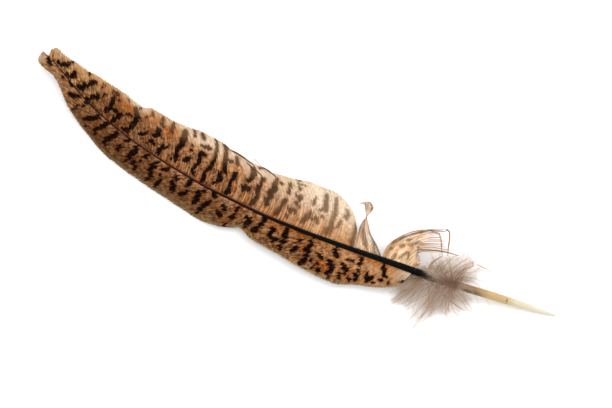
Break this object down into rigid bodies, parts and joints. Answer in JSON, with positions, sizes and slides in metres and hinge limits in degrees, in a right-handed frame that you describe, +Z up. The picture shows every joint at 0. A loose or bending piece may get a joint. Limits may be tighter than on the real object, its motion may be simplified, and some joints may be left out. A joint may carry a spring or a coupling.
{
  "type": "barred tail feather",
  "caption": "Loose barred tail feather, lying on its underside: tapering quill, broad and narrow arched vanes, split locks near the base and a tuft of down.",
  "frame": {"origin": "middle of the bounding box at the surface that the feather lies on", "axes": "+X along the feather towards the quill's end, +Y towards the broad vane, +Z up from the surface"},
  "size_m": [0.2498, 0.046, 0.0125],
  "materials": {
    "quill": "smooth horny quill, black along the vanes and tan to cream at its bare end",
    "broad_vane": "fine satin barbs, orange tan to pale buff with broken dark brown bars",
    "narrow_vane": "fine satin barbs, warm brown with broken black bars",
    "loose_locks": "loose satin barbs, pale buff with faint brown bars",
    "down": "soft matt down, grey brown"
  },
  "bodies": {
    "root": {"shaft": "quill", "wide_vane": "broad_vane", "narrow_vane": "narrow_vane", "curled_lock": "loose_locks", "base_lock": "loose_locks", "down_tuft": "down"}
  },
  "joints": []
}
